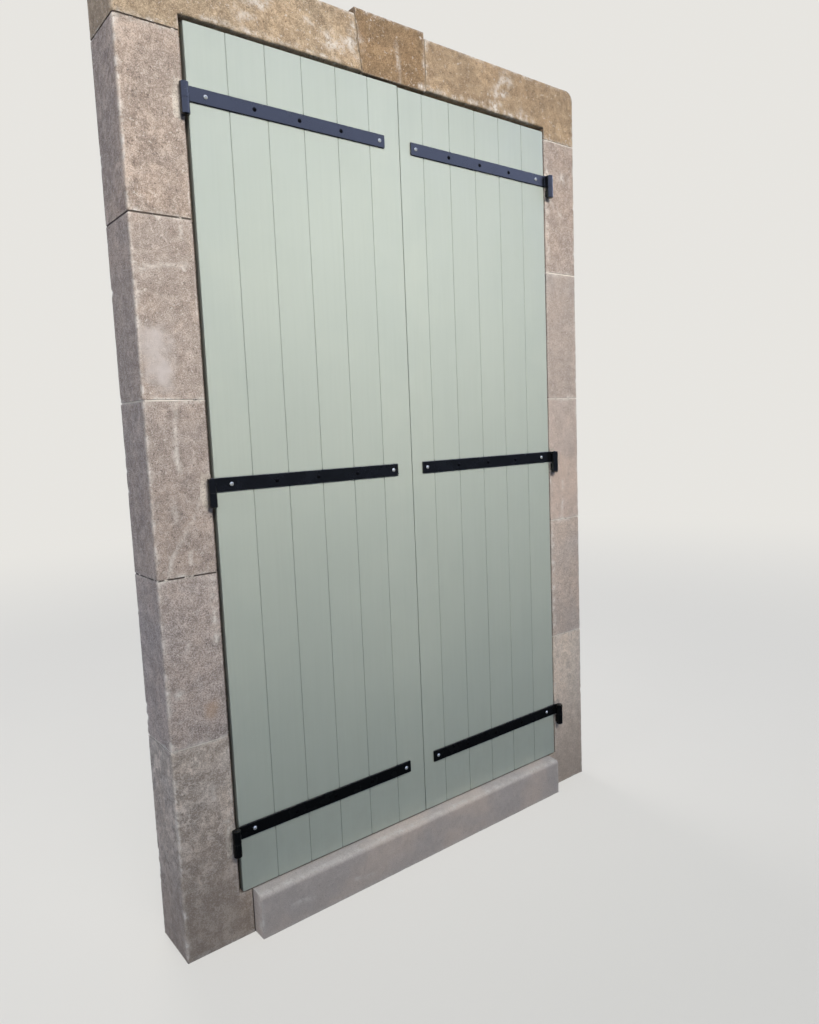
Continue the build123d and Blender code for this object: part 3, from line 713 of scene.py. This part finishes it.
def mortar_patch(side, level, seed):
    """An uneven low mound of mortar that covers a pocket's mouth."""
    bm = bmesh.new()
    x_middle = side * (OPENING_EDGE + PATCH_OFFSET)
    z_middle = level + (POCKET_ABOVE - POCKET_BELOW) / 2
    rings = []
    for k in range(1, PATCH_RINGS + 1):
        share = k / PATCH_RINGS
        ring_verts = []
        for i in range(PATCH_TURNS):
            angle = 2 * math.pi * i / PATCH_TURNS
            c, s = math.cos(angle), math.sin(angle)
            square = (abs(c) ** PATCH_CORNER + abs(s) ** PATCH_CORNER) ** (-1 / PATCH_CORNER)
            place = Vector((c, s, seed))
            ragged = 1.0 + 0.22 * noise.noise(place * 2.6) + 0.12 * noise.noise(place * 7.0)
            x = x_middle + side * PATCH_HALF_WIDTH * square * ragged * share * c
            z = z_middle + PATCH_HALF_HEIGHT * square * ragged * share * s
            x = side * max(abs(x), OPENING_EDGE + 0.0012)
            swell = PATCH_THICKNESS * (1 - share**4) + 0.0005 * noise.noise(Vector((x, z, seed)) * 90.0)
            depth = PATCH_ROOT if k == PATCH_RINGS else -max(0.0004, swell)
            ring_verts.append(bm.verts.new((x, depth, z)))
        rings.append(ring_verts)
    crown = bm.verts.new((x_middle, -PATCH_THICKNESS, z_middle))
    skin(bm, rings)
    for i in range(PATCH_TURNS):
        bm.faces.new((crown, rings[0][i], rings[0][(i + 1) % PATCH_TURNS]))
    bm.faces.new(rings[-1])
    bmesh.ops.recalc_face_normals(bm, faces=bm.faces)
    return bm


for side, side_name in ((-1, "left"), (1, "right")):
    for number, level in enumerate(LEVELS):
        name = f"{side_name}_mortar_patch_{number + 1}"
        patch = smooth_mesh(mortar_patch(side, level, 3.7 * number + side), name, 50)
        add_piece(patch, name, grout, "frame", None)


# Strap fixings: lathe-turned heads with their drives, sizes in metres

BOLT = {
    "head": 0.0060,
    "height": 0.0034,
    "rim": 0.0006,
    "drive": 0.0024,
    "drive_depth": 0.0018,
    "corners": 0,
    "shank": 0.0035,
    "length": 0.0680,
}
SCREW = {
    "head": 0.0060,
    "height": 0.0030,
    "rim": 0.0007,
    "drive": 0.0021,
    "drive_depth": 0.0014,
    "corners": 6,
    "shank": 0.0025,
    "length": 0.0470,
}
HEAD_SIDES = 24
DOME_RINGS = 7
SHANK_BEVEL = 0.0006
DRIVE_BEVEL = 0.0003
BOLT_PLACES = (0, 4)
SCREW_PLACES = (1, 2, 3)


def ring(bm, radius, depth, count, corners=0):
    """A ring of vertices about the local Y axis, round or with flats between corners."""
    verts = []
    for i in range(count):
        angle = 2 * math.pi * i / count
        reach = radius
        if corners:
            part = 2 * math.pi / corners
            reach = radius * math.cos(part / 2) / math.cos(angle % part - part / 2)
        verts.append(bm.verts.new((reach * math.cos(angle), depth, reach * math.sin(angle))))
    return verts


def domed_head(head, height, rim, drive, drive_depth, corners, shank, length):
    """Domed head with a recess in its crown, seated at depth 0, and a shank behind it."""
    bm = bmesh.new()
    count = HEAD_SIDES
    rise = height - rim
    sphere = (head**2 + rise**2) / (2 * rise)
    rings = [
        ring(bm, drive * 0.72, -height + drive_depth, count, corners),
        ring(bm, drive, -height + DRIVE_BEVEL, count, corners),
    ]
    first = (drive + 0.0005) / head
    for step in range(DOME_RINGS):
        radius = head * (first + (0.97 - first) * step / (DOME_RINGS - 1))
        depth = -rim - (math.sqrt(sphere**2 - radius**2) - (sphere - rise))
        rings.append(ring(bm, radius, depth, count))
    rings.append(ring(bm, head, -rim * 0.8, count))
    rings.append(ring(bm, head * 0.98, 0.0, count))
    rings.append(ring(bm, shank, 0.0, count))
    rings.append(ring(bm, shank, length - SHANK_BEVEL, count))
    rings.append(ring(bm, shank - SHANK_BEVEL, length, count))
    skin(bm, rings)
    bm.faces.new(rings[0])
    bm.faces.new(rings[-1])
    bmesh.ops.recalc_face_normals(bm, faces=bm.faces)
    return bm


def set_out(template, places, name):
    """Copies of a template at several places, in one mesh."""
    part = bpy.data.meshes.new(name + "_one")
    template.to_mesh(part)
    template.free()
    out = bmesh.new()
    for place, turn in places:
        start = len(out.verts)
        out.from_mesh(part)
        out.verts.ensure_lookup_table()
        move = Matrix.Translation(place) @ Matrix.Rotation(turn, 4, "Y")
        bmesh.ops.transform(out, matrix=move, verts=out.verts[start:])
    bpy.data.meshes.remove(part)
    return smooth_mesh(out, name, 35)


def fixings(axis, towards, indices):
    """Places of some fixings of every strap of one leaf, each turned its own way."""
    found = []
    for level in LEVELS:
        for index in indices:
            x = axis + towards * (FIRST_FIXING + FIXING_PITCH * index)
            turn = 1.9 * index + 7.1 * level + 0.4 * towards
            found.append((Vector((x, STRAP_FACE, level)), turn))
    return found


for side, axis, towards in (("left", LEFT_AXIS, 1), ("right", RIGHT_AXIS, -1)):
    body = side + "_leaf"
    name = side + "_domed_bolts"
    mesh = set_out(domed_head(**BOLT), fixings(axis, towards, BOLT_PLACES), name)
    add_piece(mesh, name, zinc, body, side + "_strap_bolts")
    name = side + "_button_screws"
    mesh = set_out(domed_head(**SCREW), fixings(axis, towards, SCREW_PLACES), name)
    add_piece(mesh, name, black_screw, body, side + "_strap_screws")


# Floor, light and camera

FLOOR_HALF = 40.0
FADE = (0.5, 9.5)
FLOOR_PALE = (rgba(0.74, 0.725, 0.70), rgba(0.78, 0.765, 0.74))
FLOOR_FOR_LIGHT = rgba(0.055, 0.053, 0.052)
FLOOR_FOR_GLOSS = rgba(0.008, 0.010, 0.010)


def floor_material():
    """Pale floor that fades into the backdrop away from the object and throws back little light."""
    s = Shader("studio_floor")
    far = s.add("ShaderNodeVectorMath", operation="LENGTH")
    s.put(far.inputs[0], s.place)
    fade = s.ramp(far.outputs["Value"], *FADE, 0.70, 1.0)
    path = s.add("ShaderNodeLightPath")
    seen = path.outputs["Is Camera Ray"]
    glow = s.add("ShaderNodeEmission")
    glow.inputs["Color"].default_value = BACKDROP
    blend = s.add("ShaderNodeMixShader")
    s.put(blend.inputs[0], s.math("MULTIPLY", fade, seen))
    pale = s.mix(s.noise(3.0), *FLOOR_PALE)
    lit = s.mix(path.outputs["Is Glossy Ray"], FLOOR_FOR_LIGHT, FLOOR_FOR_GLOSS)
    s.finish(s.mix(seen, lit, pale), 0.85)
    s.tree.links.new(s.bsdf.outputs[0], blend.inputs[1])
    s.tree.links.new(glow.outputs[0], blend.inputs[2])
    s.tree.links.new(blend.outputs[0], s.tree.nodes["Material Output"].inputs["Surface"])
    return s.material


bm = bmesh.new()
bmesh.ops.create_grid(bm, x_segments=24, y_segments=24, size=FLOOR_HALF)
floor = bpy.data.objects.new("floor", smooth_mesh(bm, "floor", 30))
bpy.context.scene.collection.objects.link(floor)
dress(floor, floor_material())


DIM_GROUND = rgba(0.06, 0.06, 0.06)
COOL_SKY = rgba(0.185, 0.240, 0.300)
MIRRORED_GROUND = rgba(0.006, 0.008, 0.007)
MIRRORED_SKY = rgba(1.75, 2.05, 3.25)


class Surroundings:
    """World light: dim for surfaces, bright above for reflections, plain for the camera."""

    def __init__(self):
        world = bpy.data.worlds.new("studio")
        bpy.context.scene.world = world
        world.use_nodes = True
        self.tree = world.node_tree
        self.tree.nodes.clear()
        toward = self.tree.nodes.new("ShaderNodeTexCoord").outputs["Generated"]
        split = self.tree.nodes.new("ShaderNodeSeparateXYZ")
        self.tree.links.new(toward, split.inputs[0])
        self.height = split.outputs[2]
        path = self.tree.nodes.new("ShaderNodeLightPath")
        ambient = self.graded(-0.05, 0.10, DIM_GROUND, COOL_SKY)
        mirrored = self.graded(0.08, 0.30, MIRRORED_GROUND, MIRRORED_SKY)
        plain = self.tree.nodes.new("ShaderNodeBackground")
        plain.inputs["Color"].default_value = BACKDROP
        shown = self.choose(path.outputs["Is Glossy Ray"], ambient, mirrored)
        shown = self.choose(path.outputs["Is Camera Ray"], shown, plain.outputs[0])
        out = self.tree.nodes.new("ShaderNodeOutputWorld")
        self.tree.links.new(shown, out.inputs["Surface"])

    def graded(self, low, high, under, over):
        """Light that changes colour with height above the horizon."""
        rise = self.tree.nodes.new("ShaderNodeMapRange")
        rise.interpolation_type = "SMOOTHSTEP"
        self.tree.links.new(self.height, rise.inputs["Value"])
        rise.inputs["From Min"].default_value = low
        rise.inputs["From Max"].default_value = high
        blend = self.tree.nodes.new("ShaderNodeMix")
        blend.data_type = "VECTOR"
        self.tree.links.new(rise.outputs["Result"], blend.inputs["Factor"])
        blend.inputs["A"].default_value = under[:3]
        blend.inputs["B"].default_value = over[:3]
        light = self.tree.nodes.new("ShaderNodeBackground")
        self.tree.links.new(blend.outputs["Result"], light.inputs["Color"])
        return light.outputs[0]

    def choose(self, factor, a, b):
        node = self.tree.nodes.new("ShaderNodeMixShader")
        self.tree.links.new(factor, node.inputs[0])
        self.tree.links.new(a, node.inputs[1])
        self.tree.links.new(b, node.inputs[2])
        return node.outputs[0]


Surroundings()


def area_light(name, place, target, size, power, color, spread):
    """A soft rectangular light that faces its target."""
    data = bpy.data.lights.new(name, "AREA")
    data.shape = "RECTANGLE"
    data.size, data.size_y = size
    data.energy = power
    data.color = color
    data.spread = math.radians(spread)
    obj = bpy.data.objects.new(name, data)
    bpy.context.scene.collection.objects.link(obj)
    obj.location = place
    aim = Vector(target) - Vector(place)
    obj.rotation_euler = aim.to_track_quat("-Z", "Y").to_euler()
    obj.visible_glossy = False
    return obj


area_light(
    "key",
    place=(-0.5, -3.4, 3.7),
    target=(0.0, 0.0, 1.9),
    size=(3.2, 0.8),
    power=31.0,
    color=(1.0, 0.945, 0.87),
    spread=60,
)
area_light(
    "side",
    place=(-6.0, -0.5, 2.6),
    target=(-0.8, 0.1, 1.4),
    size=(2.0, 3.0),
    power=36.0,
    color=(1.0, 0.97, 0.93),
    spread=120,
)
area_light(
    "back",
    place=(0.8, 5.5, 3.4),
    target=(0.0, 0.1, 1.3),
    size=(3.0, 2.0),
    power=42.0,
    color=(1.0, 0.95, 0.89),
    spread=70,
)


# The photo's camera, solved from the edges of the leaves and stones

LENS = 26.441
SENSOR = 36.0
CAMERA_PLACE = (-1.5450, -1.9571, 1.4797)
CAMERA_RIGHT = Vector((0.78271, -0.62106, -0.04062))
CAMERA_UP = Vector((0.10264, 0.06443, 0.99263))
CAMERA_BACK = Vector((-0.61387, -0.78111, 0.11417))

data = bpy.data.cameras.new("camera")
camera = bpy.data.objects.new("camera", data)
bpy.context.scene.collection.objects.link(camera)
bpy.context.scene.camera = camera
data.sensor_fit = "AUTO"
data.sensor_width = SENSOR
data.lens = LENS
data.clip_start = 0.05
data.clip_end = 200.0
data.dof.use_dof = False
turn = Matrix((CAMERA_RIGHT, CAMERA_UP, CAMERA_BACK)).transposed().to_4x4()
camera.matrix_world = Matrix.Translation(CAMERA_PLACE) @ turn

bpy.context.scene.view_settings.view_transform = "Standard"

bpy.context.view_layer.update()
